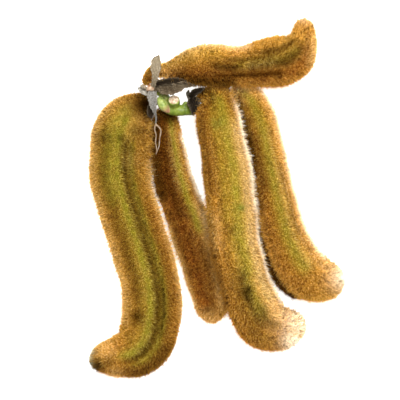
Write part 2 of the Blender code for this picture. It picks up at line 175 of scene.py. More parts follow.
# The middle line of each pod from its base to its tip: x, y, z and half-width
LEFT_LINE = [
    (-21.9, 31.9, 10.6, 1.6), (-24.9, 31.5, 8.8, 4.8), (-28.9, 27.5, 7, 8.7), (-31.9, 21.1, 6, 10.1),
    (-32.8, 13.5, 6.1, 10.1), (-32.4, 6, 6.2, 10.2), (-30.4, -1.9, 6.5, 10), (-27.7, -10.4, 6.6, 10),
    (-25, -18.9, 6.5, 10), (-22.7, -26.8, 6.2, 10), (-21.6, -35, 6, 10.1), (-22, -41.8, 6, 10.1),
    (-23.7, -48.2, 5.8, 9.8), (-27.5, -52.4, 5.5, 9.1), (-33, -54.2, 5.2, 7.4), (-38, -55, 5, 5.6),
    (-42.6, -56.2, 4.8, 4.4),
]
MID_LEFT_LINE = [
    (-17.2, 31, 7.8, 1.6), (-17.1, 29.2, 7, 3.2), (-16.8, 25.5, 6.4, 4.4), (-16.4, 21, 5.4, 4.9),
    (-15.8, 15.5, 4.8, 5.8), (-14.6, 8.7, 4.4, 6.2), (-12.3, 0.2, 4.4, 6.6), (-9.6, -7, 4.6, 7.1),
    (-7.1, -14.5, 4.6, 7.2), (-4.7, -21.3, 4.4, 7.1), (-3, -28.2, 4.2, 6.8), (-1.6, -35, 4, 6),
    (-0.7, -42.8, 3.9, 4.6),
]
CENTRE_LINE = [
    (-6.4, 32.9, 15.2, 1.6), (-3.8, 33.7, 15.2, 3.2), (-0.8, 32, 15.6, 6.2), (0.6, 27.4, 16.8, 7.4),
    (1.5, 22, 17.2, 7.5), (2.7, 16, 17.2, 7.8), (3.9, 8.6, 17, 8.2), (4.9, -0.2, 16.5, 8.3),
    (5.7, -8.3, 15.5, 8.3), (6.4, -15.7, 14.1, 8.3), (8.3, -23.1, 12.8, 8.3), (10.3, -30.2, 10.8, 8.5),
    (13, -36.8, 8.3, 8.9), (16.4, -42.4, 6.2, 9.3), (21.6, -44.6, 5, 7.7), (26.6, -42.9, 4.6, 6.3),
    (29.9, -40.7, 4.5, 4.8),
]
RIGHT_LINE = [
    (5.2, 34, 10.8, 1.6), (8.2, 35.4, 11.7, 3.3), (11.3, 32.9, 12.6, 5.4), (13.8, 28.2, 13.2, 6),
    (15.7, 22.5, 13.4, 6.1), (17.2, 16, 13.4, 6.2), (18.5, 9.3, 13.5, 6.4), (20, 2.5, 13.8, 6.5),
    (21.5, -4.2, 14.2, 6.8), (23, -10.3, 14.7, 7.2), (25.2, -16, 14.9, 7.4), (28.3, -21.9, 14.9, 8),
    (32.7, -26.6, 14.2, 8.2), (37.9, -27.6, 13, 7), (43.4, -26.6, 11.8, 5.6),
]
BEHIND_LINE = [
    (4.4, 29.6, 8, 1.6), (7, 26.4, 6.6, 3.6), (10.4, 20.6, 5.2, 5.3), (13.8, 13.5, 4.4, 6),
    (16.6, 6, 4.2, 6.3), (19, -1.2, 4.2, 6.5), (20.8, -8, 4.3, 6.6), (22, -14.6, 4.2, 6.6),
    (23.3, -20.6, 4.1, 6.5), (25.2, -25.9, 4, 6), (28.4, -30.1, 3.8, 4.9), (32.6, -32.2, 3.6, 3.5),
]
TOP_LINE = [
    (-23.2, 37.7, 14, 1.6), (-22.7, 40, 15.3, 1.9), (-20.3, 42.5, 16.6, 2.2), (-16.3, 42.6, 17.6, 2.8),
    (-11.9, 43.2, 18.3, 4.5), (-7.5, 43.8, 18.8, 6.3), (-2.8, 44.2, 18.8, 7.1), (2.5, 44, 18.3, 6.9),
    (7.5, 44, 17.5, 6.5), (12.5, 44.5, 16.4, 7.3), (17.6, 45.3, 15, 8.1), (22.6, 46.3, 13.4, 8.5),
    (26.7, 48.8, 12, 7.7), (29.4, 53.3, 11, 4.9), (30.1, 60.6, 10.4, 2.6),
]

# Each pod's looks. Relief: ridges (up) and grooves (down) along it, each a place across the pod from -1 to 1, height,
# width, and the shares of the length where it starts and ends. Bands of each colour, and of longer hairs: place,
# width, start, end and strength. Spots of each colour: x, y, radius and strength. Grain: how much the tones differ.
# Dark and black bands and spots are painted shade: in grooves, between the pods, under the calyx and on sides turned
# from the lamp. Light ones are painted light on lit ridges, sides and rims, pale ones are pale hairs with painted
# highlight on the lit edges, and brown is in places painted shade.
PODS = {
    "pod_left": dict(
        line=LEFT_LINE, hairs=180000, grain=1.15,
        relief=[(-0.08, 0.8, 0.16, 0.04, 0.92), (0.27, -1.5, 0.12, 0.12, 0.9), (0.52, 0.5, 0.12, 0.15, 0.85)],
        olive=[(-0.04, 0.22, 0.03, 0.93, 1), (-0.25, 0.45, 0.02, 0.4, 0.8), (0, 0.55, 0.02, 0.9, 0.5),
            (0.42, 0.16, 0.12, 0.9, 0.7)],
        brown=[(0.78, 0.26, 0.35, 1.05, 0.6), (-0.5, 0.16, 0.4, 0.85, 0.5), (-0.15, 0.5, 0.72, 0.95, 0.4),
            (-0.62, 0.2, 0.1, 0.45, 0.3)],
        painted_shade=[(0.24, 0.14, 0.13, 0.92, 1), (0.55, 0.2, 0.12, 0.95, 0.3), (0.8, 0.35, 0.76, 0.93, 0.75),
            (-0.46, 0.2, 0.1, 0.72, 0.5), (0.3, 0.2, 0.9, 1, 0.5), (0.38, 0.1, 0.58, 0.82, 0.9)],
        light=[(-0.9, 0.18, 0.03, 0.8, 0.65), (-0.02, 0.14, 0.1, 0.9, 0.8), (0.97, 0.1, 0.2, 0.75, 1)],
        painted_shade_spots=[(-37.6, 20.4, 3, 0.8), (-31.6, 20.2, 1.8, 0.8), (-26.2, 22.5, 2.8, 0.7), (-26.4, -40.2, 2.6, 1),
            (-24.4, 31, 5, 1), (-39.9, -57, 2.5, 1), (-36.6, -56, 2.4, 0.6)],
        long=[(0.97, 0.22, -0.1, 0.33, 0.5), (0, 3, 0.965, 1.1, 0.7)],
        light_spots=[(-37.5, -51.5, 3.6, 0.9), (-34, -59.8, 2.6, 0.6), (-30, 13, 3.4, 0.9),
            (-29.5, 26.5, 6, 0.7)],
        painted_deep_shadow_spots=[(-24, 31.8, 3.2, 1), (-39.8, -57.4, 1.8, 0.7)],
        grey_spots=[(-42.2, -52.4, 1.2, 0.8), (-43, -54.6, 1.2, 1), (-42.6, -56.8, 1.2, 1),
            (-41.4, -58.6, 1, 0.8)],
    ),
    "pod_mid_left": dict(
        line=MID_LEFT_LINE, hairs=118000, grain=1.0,
        relief=[(-0.1, -0.9, 0.14, 0.1, 0.9), (0.35, 0.6, 0.18, 0.1, 0.9)],
        olive=[(0.38, 0.2, 0.02, 0.62, 0.9)],
        # Brown and dark on its left side are painted shade beside the left pod; its light bands are painted light.
        brown=[(-0.4, 0.7, 0, 1.1, 1), (0.2, 0.5, 0.5, 1.1, 0.7)],
        painted_shade=[(-0.75, 0.45, 0, 0.44, 0.95), (-0.2, 0.32, 0.03, 0.55, 0.8), (-0.2, 0.3, 0.5, 0.92, 0.5),
            (-0.7, 0.22, 0.42, 0.82, 0.45), (0.05, 0.35, 0.6, 1, 0.45), (0, 2, -0.1, 0.1, 0.5)],
        light=[(0.35, 0.24, 0.06, 0.42, 1), (0.62, 0.28, 0.42, 0.97, 1), (-0.95, 0.12, 0.48, 0.97, 0.9),
            (-0.4, 1, 0.9, 1.1, 0.6)],
        long=[(-0.95, 0.25, -0.1, 0.42, 0.8)],
        pale=[(1, 0.12, 0.1, 0.5, 1), (0.9, 0.2, 0.48, 0.93, 0.4)],
        painted_shade_spots=[(-16, 27.4, 3.8, 0.95), (-2.6, -38.2, 1.3, 0.8)],
    ),
    "pod_centre": dict(
        line=CENTRE_LINE, hairs=165000, grain=1.35,
        relief=[(-0.6, -1, 0.12, 0.15, 0.75), (-0.28, 0.4, 0.14, 0.15, 0.6), (-0.12, -1.4, 0.14, 0.52, 0.93),
            (0.25, 0.5, 0.14, 0.5, 0.95)],
        olive=[(0.25, 0.38, 0.02, 0.7, 0.8), (0.15, 0.3, 0.6, 0.84, 0.6), (0.62, 0.22, 0.08, 0.8, 0.35),
            (-0.15, 0.25, 0.05, 0.5, 0.5)],
        brown=[(-0.8, 0.25, 0.02, 0.4, 0.4), (-0.95, 0.3, 0.45, 0.95, 0.5)],
        painted_shade=[(-0.72, 0.14, 0.05, 0.4, 0.4), (-0.95, 0.16, 0.4, 0.78, 0.5), (-0.12, 0.22, 0.6, 0.88, 0.8),
            (-0.95, 0.14, 0.1, 0.42, 0.35), (0.2, 0.18, 0.72, 0.92, 0.6), (-0.35, 0.34, 0.6, 0.9, 0.45),
            (-0.95, 0.4, -0.1, 0.08, 0.7)],
        light=[(0.6, 0.34, 0.1, 0.95, 1), (0.25, 0.2, 0.12, 0.55, 0.5), (-0.7, 0.2, 0.4, 0.58, 0.6),
            (-0.7, 0.5, 0.9, 1, 0.7), (0.72, 0.2, 0.1, 0.95, 1)],
        pale=[(1.02, 0.14, 0.06, 0.48, 1), (1.03, 0.09, 0.42, 0.95, 1), (0.75, 0.18, 0.12, 0.85, 0.12)],
        long=[(0.3, 1.2, -0.1, 0.09, 0.9)],
        painted_shade_spots=[(10.2, -31.2, 2.3, 1), (10.6, -34.4, 2.2, 0.9), (15.1, -39.4, 2.2, 0.5), (5.4, -10.7, 2.4, 0.5),
            (15.5, -46.5, 5, 0.35)],
        painted_deep_shadow_spots=[(10.4, -32.4, 2, 0.6), (-4.5, 35.9, 2, 0.9), (-1.4, 34.4, 0.5, 0.9), (-1.1, 33, 0.5, 0.9),
            (-0.8, 31.6, 0.5, 0.8), (-0.5, 30.2, 0.5, 0.7)],
        green_spots=[(8.6, -3.2, 1.2, 1), (0.5, 25, 2.2, 0.6)],
        pale_spots=[(32.3, -42.3, 7.8, 1), (27, -48.8, 4.2, 1)],
        light_spots=[(-0.2, 33.4, 0.5, 1), (0.1, 31.6, 0.5, 0.9)],
        rust_spots=[(31, -43, 8, 1)],
    ),
    "pod_right": dict(
        line=RIGHT_LINE, hairs=148000, grain=1.2,
        relief=[(0.5, -1.4, 0.12, 0.35, 0.95), (0.12, 0.5, 0.18, 0.1, 0.9)],
        olive=[(0.05, 0.32, 0.02, 0.85, 0.8)],
        brown=[(-0.75, 0.4, 0.2, 0.9, 0.4)],
        painted_shade=[(0.5, 0.08, 0.35, 0.72, 0.5), (-0.85, 0.32, 0.02, 0.44, 1), (-0.95, 0.25, 0.4, 0.58, 0.6),
            (0.3, 0.5, 0.93, 1, 0.1), (-0.55, 0.32, 0.2, 0.5, 0.6)],
        # The light and pale bands at its base are painted light, where the top pod's shadow falls on it.
        light=[(0.22, 0.18, 0.2, 0.85, 0.8), (0.74, 0.22, 0.05, 0.95, 1), (0.3, 1.2, -0.1, 0.13, 1)],
        pale=[(1, 0.12, 0.05, 0.9, 0.95), (0.6, 0.6, -0.1, 0.09, 0.12)],
        long=[(0, 2, -0.1, 0.09, 0.8)],
        painted_shade_spots=[(42, -28.2, 0.5, 0.9), (41.2, -29.8, 0.4, 0.9)],
        pale_spots=[(44, -26.6, 4.8, 0.85)],
    ),
    "pod_behind": dict(
        line=BEHIND_LINE, hairs=84000, grain=1.0,
        relief=[(-0.2, -0.8, 0.14, 0.1, 0.9), (0.25, 0.4, 0.16, 0.1, 0.9)],
        olive=[(0.2, 0.3, 0.02, 0.85, 0.5)],
        # Its brown and dark are painted shade, where it lies low between the centre and right pods.
        brown=[(0, 2, 0, 1.1, 0.8)],
        painted_shade=[(-0.8, 0.6, 0.02, 1, 0.85)],
        painted_shade_spots=[(31.5, -33, 3, 0.7)],
    ),
    "pod_top": dict(
        line=TOP_LINE, hairs=135000, grain=1.7,
        relief=[(-0.3, -1.4, 0.12, 0.36, 0.95), (0.42, -0.7, 0.12, 0.42, 0.85), (0.06, 0.5, 0.16, 0.36, 0.9)],
        olive=[(0.6, 0.45, 0.05, 0.45, 0.25), (0.05, 0.25, 0.45, 0.85, 0.4)],
        # Brown and dark on its lower side are painted shade, as the light falls from above; light on its upper side is
        # painted light.
        brown=[(-0.5, 0.5, 0, 0.9, 0.8)],
        painted_shade=[(-0.47, 0.2, 0.34, 0.74, 1), (0.26, 0.16, 0.4, 0.72, 0.9), (0.42, 0.18, 0.58, 0.9, 1),
            (-0.05, 0.22, 0.62, 0.88, 0.9), (-0.85, 0.4, 0.21, 0.52, 0.9), (-0.1, 0.3, 0.34, 0.54, 0.85),
            (0.8, 0.2, 0.76, 0.92, 0.6), (0, 0.6, 0.5, 0.9, 0.6)],
        light=[(0.75, 0.35, 0.16, 0.36, 0.9), (0.85, 0.2, 0.3, 0.6, 0.8), (0, 0.14, 0.5, 0.7, 0.6),
            (-0.8, 0.3, 0.78, 0.95, 0.8)],
        pale=[(1, 0.1, 0.2, 0.6, 0.3)],
        painted_deep_shadow_spots=[(-14.5, 39.2, 1.3, 0.9), (-11.9, 39.6, 1.8, 0.9)],
        light_spots=[(-17.5, 42.6, 2.8, 1), (-13.8, 44.6, 2.6, 0.7)],
        pale_spots=[(30.4, 63.2, 3.4, 0.6)],
    ),
}

# The green stalk: kind, line of x, y, z and radius, and how far its ends stand out against their radius
STEMS = [
    ("stem", [(-17.2, 30.6, 12.6, 1.5), (-15.5, 29.9, 13, 1.9), (-12.5, 29.4, 13.2, 1.9), (-9.8, 29.4, 12.9, 1.8),
              (-7.8, 29.4, 11.2, 1.5), (-4.5, 30.5, 9.2, 1.4), (-0.6, 32.4, 8.7, 1.4), (2.2, 33.5, 9.3, 1.2)], 0.35),
    ("cut", [(-13.6, 30.2, 12.6, 1.7), (-13.9, 31.6, 14.4, 1.9), (-14.1, 32.8, 16.2, 2)], 0.1),
    ("olive", [(-15, 31.1, 13.6, 1.3), (-16.6, 33.4, 14.2, 1.4), (-18.3, 35, 14, 1.2),
               (-19.8, 35.4, 13.6, 1)], 0.35),
    ("olive", [(-17.4, 33.4, 13.4, 1.1), (-19, 33, 12.4, 1.1)], 0.35),
    ("olive", [(-16.3, 31, 12.4, 1.3), (-17, 32.5, 11.4, 1.1), (-17.2, 33.2, 10.3, 1)], 0.35),
    ("stem", [(-10.8, 30, 13.2, 1.3), (-9.6, 31.8, 13.8, 1.2)], 0.35),
    ("stem", [(-1.2, 32, 8.8, 1.2), (1.6, 30.8, 8.5, 1.1)], 0.35),
    ("bud", [(-19.1, 33.6, 14.6, 0.8), (-18.6, 32.4, 15, 1.3), (-17.8, 31, 15.1, 1.5), (-16.8, 29.7, 14.8, 1.25),
             (-16.1, 28.9, 14.6, 0.6)], 0.35),
]
STEM_JOINTS = (-10.3, -7.6)

# The dry calyx at each pod's base. Tubes: line of x, y, z and radius, then its colour from 0, grey, to 1, dark
# brown, and how much of a scar it is. Lobes: line of x, y, z and half-width, depth of its cup, colour and paleness.
CALYXES = {
    "calyx_top": dict(
        slot="calyx",
        tubes=[([(-21.2, 35.9, 13.3, 0.85), (-21.7, 36.2, 13.35, 1.1), (-22.2, 36.5, 13.4, 1.1)], 0.4, 0.3),
               ([(-21.5, 36.3, 14, 0.8), (-21.4, 36.5, 15.2, 0.95), (-21.5, 36.6, 15.9, 0.8)], 0.3, 0.5),
               ([(-22.9, 36.3, 14.6, 0.6), (-22.4, 36.7, 15.4, 0.9), (-21.8, 37.2, 15.8, 0.7)], 0.1, 1),
               ([(-22.6, 37.4, 15.2, 0.4), (-21.9, 37.9, 15.6, 0.6), (-21.2, 38.2, 15.9, 0.4)], 0.1, 1),
               ([(-23.6, 36.7, 14.4, 0.6), (-24.4, 37.3, 14.8, 0.8), (-25.2, 37.7, 14.6, 0.5)], 0.25, 0),
               ([(-20.2, 24.9, 12.1, 0.34), (-20.6, 23, 12.1, 0.22), (-20.1, 21, 12, 0.2),
                 (-20.3, 18.6, 12.4, 0.2), (-19.9, 16.4, 12.6, 0.18), (-20.1, 14.6, 12.6, 0.12)], 0.45, 0.35),
               ([(-20.4, 24.6, 12.1, 0.34), (-19.4, 24, 12.3, 0.3), (-18.5, 22.6, 12.4, 0.26),
                 (-18.9, 19.8, 12.7, 0.22), (-19.1, 17.4, 12.9, 0.18), (-19.9, 15.2, 12.8, 0.14)], 0.45, 0.35)],
        lobes=[([(-21.3, 36.8, 15.6, 0.8), (-20.7, 38.6, 18, 0.8), (-20.2, 41, 19.8, 1.2),
                 (-20.1, 43.2, 20.3, 1.7), (-20, 45, 20.5, 1.75), (-19.5, 46.4, 20.6, 1.2),
                 (-18.8, 47.7, 20.6, 0.15)], 0.4, 0.35, 0),
               ([(-21, 36.6, 15.8, 0.9), (-18.8, 37.4, 17.7, 2.2), (-16.5, 36.7, 19.2, 2.4),
                 (-15, 36.2, 20, 1.9), (-13, 36.6, 20.7, 1.7), (-10.9, 37.5, 21, 1.3),
                 (-8.5, 37.5, 21, 0.7), (-6.4, 37.1, 20.7, 0.15)], 0.6, 0.68, 0),
               # A dark lobe tucked between the top pod's neck and the wide lobe, a dark sheet standing in for the
               # shadow there: painted shadow
               ([(-20.6, 37.6, 15.8, 0.9), (-18.2, 38.4, 18.4, 0.9), (-14.6, 38.9, 20.4, 1.15),
                 (-11.4, 38.7, 20.8, 1), (-8.6, 38, 20.6, 0.4)], 0.2, 1, 0),
               ([(-21.5, 36.2, 15.4, 1.2), (-21.3, 34.4, 15.5, 1.65), (-21.1, 32.2, 15.2, 1.5),
                 (-20.9, 30.2, 14.4, 0.95), (-20.4, 28.4, 13.4, 0.5), (-20.1, 26.7, 12.7, 0.3),
                 (-20.3, 24.5, 12.1, 0.25)], 0.3, 0, 0)]),
    "calyx_left": dict(
        slot="calyx",
        tubes=[([(-20, 32.8, 11.9, 1.05), (-20.5, 32.5, 11.5, 1.4), (-21.1, 32.3, 11.1, 1.4)], 0.4, 0.3)],
        lobes=[([(-20.9, 32.9, 12.3, 0.6), (-21.9, 34.2, 12.9, 0.8), (-23.4, 35.4, 13.4, 1),
                 (-25, 36.3, 13.7, 1), (-26.3, 36.9, 13.8, 0.35)], 0.2, 0.1, 1),
               ([(-20.8, 32.3, 11.6, 0.8), (-21.6, 30.6, 12, 1.3), (-22, 28.6, 11.9, 1.3),
                 (-21.7, 26.8, 11.5, 0.3)], 0.2, 1, 0)]),
    "calyx_mid_left": dict(
        slot="calyx",
        tubes=[([(-17.25, 32.5, 8.7, 0.9), (-17.25, 32.1, 8.4, 1.2), (-17.25, 31.7, 8.1, 1.2)], 0.4, 0.3)],
        lobes=[([(-16.4, 32.1, 8.8, 0.9), (-14.8, 31.8, 9.1, 0.9), (-12.9, 30.8, 8.9, 0.3)], 0.2, 0.5, 0)]),
    "calyx_right": dict(
        slot="calyx",
        tubes=[([(3.1, 33.7, 9.8, 1.05), (3.75, 33.8, 10.15, 1.4), (4.4, 33.9, 10.5, 1.4)], 0.4, 0.3)],
        lobes=[([(3.3, 34.3, 11.3, 1), (3.1, 36.4, 13.2, 1.6), (3.2, 38, 13.7, 1.2), (3.3, 39.4, 13.7, 0.3)],
                0.2, 1, 0)]),
    "calyx_centre": dict(
        slot="calyx_dark",
        tubes=[([(-8.6, 32.7, 14.4, 1.05), (-7.9, 32.75, 14.7, 1.4), (-7.2, 32.8, 15, 1.4)], 1, 0)],
        lobes=[([(-8.6, 33.4, 15.6, 1.2), (-7.4, 35, 18, 1.1), (-5.4, 35.9, 19.4, 0.9), (-3.8, 36.5, 20.1, 0.2)],
                0.2, 1, 0),
               ([(-8.4, 33.4, 15.6, 1.1), (-9.3, 35, 15.9, 0.7), (-9, 36.2, 16, 0.2)], 0.1, 0.9, 0.2),
               ([(-8, 33.4, 15.7, 1.6), (-7.3, 31.6, 16.8, 2.4), (-7.2, 29.6, 17, 1.5),
                 (-7.6, 27.4, 16.8, 0.3)], 0.2, 1, 0)]),
    "calyx_behind": dict(
        slot="calyx_dark",
        tubes=[([(2.4, 30.5, 8.4, 1.05), (2.95, 30.25, 8.3, 1.4), (3.5, 30, 8.2, 1.4)], 1, 0)],
        lobes=[([(2.6, 29.6, 8.6, 1), (1.4, 27.6, 9, 0.9), (1.2, 25.2, 9, 0.2)], 0.2, 1, 0)]),
}


def unit(vectors):
    return vectors / np.maximum(np.linalg.norm(vectors, axis=-1, keepdims=True), 1e-12)


def smooth_line(controls, samples=40):
    """Dense points on a smooth curve through the controls, with the length along it at each point."""
    controls = np.array(controls, float)
    padded = np.vstack([2 * controls[0] - controls[1], controls, 2 * controls[-1] - controls[-2]])
    share = np.linspace(0.0, 1.0, samples, endpoint=False)[:, None]
    pieces = []
    for a, b, c, d in zip(padded[:-3], padded[1:-2], padded[2:-1], padded[3:]):
        pieces.append(0.5 * (2 * b + (c - a) * share + (2 * a - 5 * b + 4 * c - d) * share ** 2
                             + (3 * b - a - 3 * c + d) * share ** 3))
    dense = np.vstack(pieces + [controls[-1:]])
    steps = np.linalg.norm(np.diff(dense[:, :3], axis=0), axis=1)
    return dense, np.concatenate([[0.0], np.cumsum(steps)])


def at_lengths(dense, along, wanted):
    """The curve's values at the wanted lengths, and its directions there."""
    values = np.stack([np.interp(wanted, along, dense[:, k]) for k in range(dense.shape[1])], axis=1)
    slopes = np.gradient(dense[:, :3], along + np.arange(len(along)) * 1e-9, axis=0)
    ahead = np.stack([np.interp(wanted, along, slopes[:, k]) for k in range(3)], axis=1)
    return values, unit(ahead)


def ease(value):
    """From 0 to 1, with a gentle start and end."""
    value = np.clip(value, 0.0, 1.0)
    return value * value * (3 - 2 * value)


def fade(value, start, end):
    """1 between start and end, falling smoothly to 0 outside them."""
    return ease((value - start) / FADE) * ease((end - value) / FADE)


def dome(distance, radius):
    """The width left at a distance from a round end, as a share of the full width."""
    inside = np.clip(1.0 - np.minimum(distance, radius) / radius, 0.0, 1.0)
    return np.sqrt(np.maximum(1.0 - inside ** 2, 0.0))


def across_frame(ahead, hint=(0.0, 0.0, 1.0)):
    """For each direction ahead, the sideways direction and the one over it."""
    side = unit(np.cross(hint, ahead))
    return side, np.cross(ahead, side)


def around(side, over, sides):
    """Directions round a stem, for each place along it."""
    turns = 2 * math.pi * np.arange(sides) / sides
    return side[:, None] * np.cos(turns)[None, :, None] + over[:, None] * np.sin(turns)[None, :, None]


def ripple(points, size, seed):
    """Smooth unevenness from about -1 to 1 at points in space, with waves of about size millimetres."""
    random = np.random.default_rng(seed)
    total = np.zeros(len(points))
    for _ in range(7):
        direction = unit(random.normal(size=3)) * random.uniform(0.7, 1.5)
        total += np.sin(points @ direction * 2 * math.pi / size + random.uniform(0, 2 * math.pi))
    return total / 3.5


def fill(layer, key, values, kind=np.float32):
    layer.foreach_set(key, np.asarray(values, kind).ravel())


def read(layer, key, width=3, kind=np.float32):
    values = np.empty(len(layer) * width, kind)
    layer.foreach_get(key, values)
    return values.reshape(-1, 3)


def to_object(name, points, triangles, attributes=None, uvs=None, normals=None):
    """A mesh object from arrays in millimetres. Attributes are one value a point, and uvs one pair a corner."""
    mesh = bpy.data.meshes.new(name)
    triangles = np.asarray(triangles)
    mesh.vertices.add(len(points))
    fill(mesh.vertices, "co", (np.asarray(points, float) - BOX_MIDDLE) * MM)
    mesh.loops.add(triangles.size)
    fill(mesh.loops, "vertex_index", triangles, np.int32)
    mesh.polygons.add(len(triangles))
    fill(mesh.polygons, "loop_start", np.arange(0, triangles.size, 3), np.int32)
    mesh.update(calc_edges=True)
    for key, values in (attributes or {}).items():
        fill(mesh.attributes.new(key, "FLOAT", "POINT").data, "value", values)
    if uvs is not None:
        fill(mesh.uv_layers.new(name="OFBake").uv, "vector", uvs)
    mesh.shade_smooth()
    if normals is not None:
        fill(mesh.attributes.new("custom_normal", "FLOAT_VECTOR", "POINT").data, "vector", normals)
    made = bpy.data.objects.new(name, mesh)
    bpy.context.scene.collection.objects.link(made)
    return made


def grid_faces(rows, columns, wrap):
    """Triangles of a grid of rows by columns of points, closed round when wrap is true."""
    r = np.arange(rows - 1)[:, None]
    c = np.arange(columns if wrap else columns - 1)[None, :]
    a = r * columns + c
    b = r * columns + (c + 1) % columns
    quads = np.stack([a, b, b + columns, a + columns], axis=-1).reshape(-1, 4)
    return np.vstack([quads[:, [0, 1, 2]], quads[:, [0, 2, 3]]])


def closed_rings(rings, start, end):
    """Points and triangles of a skin of rings, closed by a point at each end."""
    count, sides = rings.shape[:2]
    points = np.vstack([rings.reshape(-1, 3), start, end])
    j = np.arange(sides)
    last = (count - 1) * sides
    caps = np.vstack([np.stack([np.full(sides, len(points) - 2), (j + 1) % sides, j], axis=1),
                      np.stack([np.full(sides, len(points) - 1), last + j, last + (j + 1) % sides], axis=1)])
    return points, np.vstack([grid_faces(count, sides, True), caps])


class Heap:
    """Closed pieces gathered into one mesh, with their attributes."""

    def __init__(self):
        self.points, self.faces, self.tones, self.size = [], [], [], 0

    def add(self, points, faces, **tones):
        self.points.append(points)
        self.faces.append(faces + self.size)
        self.tones.append({key: np.broadcast_to(value, len(points)) for key, value in tones.items()})
        self.size += len(points)

    def arrays(self):
        tones = {key: np.concatenate([tone[key] for tone in self.tones]) for key in self.tones[0]}
        return np.vstack(self.points), np.vstack(self.faces), tones


def pod_places(length, tip_round, count):
    """Lengths along a pod, close together at its round ends."""
    ends = np.array([1 - math.cos(math.radians(a)) for a in (8, 16, 26, 36, 48, 60, 74)])
    body = np.linspace(STALK_END_RADIUS, length - tip_round, count)
    return np.concatenate([STALK_END_RADIUS * ends, body, length - tip_round * ends[::-1]])


def pod_surface(look, count, sides):
    """Points on a pod's outer surface, in rings, with what is known of each: normal, direction ahead, how deep the
    wall lies under it, place across the pod and share of the length. Then the pod's ends."""
    line = look["line"]
    dense, along = smooth_line(line)
    length = along[-1]
    tip_round = line[-1][3] * TIP_ROUNDNESS
    places = pod_places(length, tip_round, count)
    centre, ahead = at_lengths(dense, along, places)
    side, over = across_frame(ahead)
    ends = (dome(places, STALK_END_RADIUS) * dome(length - places, tip_round))[:, None]
    half_width = (centre[:, 3] * (1.0 + SEED_SWELL * np.cos(2 * math.pi * places / SEED_PITCH)))[:, None]
    half_depth = POD_FLATNESS * half_width + (1 - POD_FLATNESS) * STALK_END_RADIUS
    turns = 2 * math.pi * np.arange(sides) / sides
    across, up = (np.sign(value) * np.abs(value) ** (2 / SECTION_POWER)
                  for value in (np.cos(turns)[None, :], np.sin(turns)[None, :]))
    share = (places / length)[:, None]
    height = np.zeros((len(places), sides))
    for spot, rise, spread, start, end in look["relief"]:
        height += rise * np.exp(-((across - spot) / spread) ** 2) * fade(share, start, end)
    depth = half_depth + height * np.abs(up) * np.where(up > 0, 1.0, UNDERSIDE_RELIEF) * ends
    points = centre[:, None, :3] + ends[..., None] * (side[:, None] * (across * half_width)[..., None]
                                                      + over[:, None] * (up * depth)[..., None])
    round_about = np.roll(points, -1, axis=1) - np.roll(points, 1, axis=1)
    normal = unit(np.cross(round_about, np.gradient(points, axis=0)))
    normal *= np.sign((normal * (points - centre[:, None, :3])).sum(-1, keepdims=True) + 1e-9)
    inset = np.minimum(WALL_DEPTH, WALL_SHARE * half_width) + GROOVE_DEPTH * np.maximum(-height, 0.0)
    fields = dict(points=points, normal=normal, ahead=ahead[:, None], inset=inset[..., None],
                  across=across[..., None], share=share[..., None])
    surface = {key: np.broadcast_to(field, (*height.shape, field.shape[-1])) for key, field in fields.items()}
    return dict(surface, tip=dense[-1, :3], tip_ahead=ahead[-1], base=dense[0, :3], base_ahead=ahead[0])


def band_amount(bands, across, share):
    amount = np.zeros_like(across)
    for place, spread, start, end, strength in bands:
        amount = np.maximum(amount, strength * np.exp(-((across - place) / spread) ** 2) * fade(share, start, end))
    return amount


def spot_amount(spots, points):
    amount = np.zeros(len(points))
    for x, y, radius, strength in spots:
        reach = ((points[:, 0] - x) ** 2 + (points[:, 1] - y) ** 2) / radius ** 2
        amount = np.maximum(amount, strength * np.exp(-reach))
    return amount


def paint(look, points, across, share):
    """How strong each colour of the nap is at each point; dark and black are painted shade, light is painted light."""
    tones = {}
    for key in ("olive", "brown", "painted_shade", "light", "pale", "green", "rust", "grey", "painted_deep_shadow"):
        tones[key] = np.maximum(band_amount(look.get(key, ()), across, share),
                                spot_amount(look.get(key + "_spots", ()), points))
    return tones


def pod_wall(name, look):
    """The closed wall of a pod, under its nap, with the beak at its tip."""
    surface = pod_surface(look, WALL_RINGS, WALL_SIDES)
    points = surface["points"] - surface["normal"] * surface["inset"]
    rings, sides = points.shape[:2]
    tip, ahead = surface["tip"], surface["tip_ahead"]
    spokes = around(*across_frame(ahead[None]), sides)[0]
    beak = [tip + ahead * out + BEAK_RADIUS * size * spokes for out, size in BEAK_RINGS]
    everywhere, faces = closed_rings(np.concatenate([points, np.array(beak)]),
                                     surface["base"] + surface["base_ahead"] * BASE_BULGE, tip + ahead * BEAK_LENGTH)
    extra = len(beak) * sides
    across = np.concatenate([surface["across"].ravel(), np.zeros(extra + 2)])
    share = np.concatenate([surface["share"].ravel(), np.ones(extra), [0.0, 1.0]])
    tones = paint(look, everywhere, across, share)
    # The pale colour, partly painted highlight, fades out on the wall where it turns downward
    tones["pale"][:rings * sides] *= np.clip(1 + PALE_FALL * surface["normal"][..., 2].ravel(), 0, 1)
    return to_object(name + "_wall", everywhere, faces, tones)


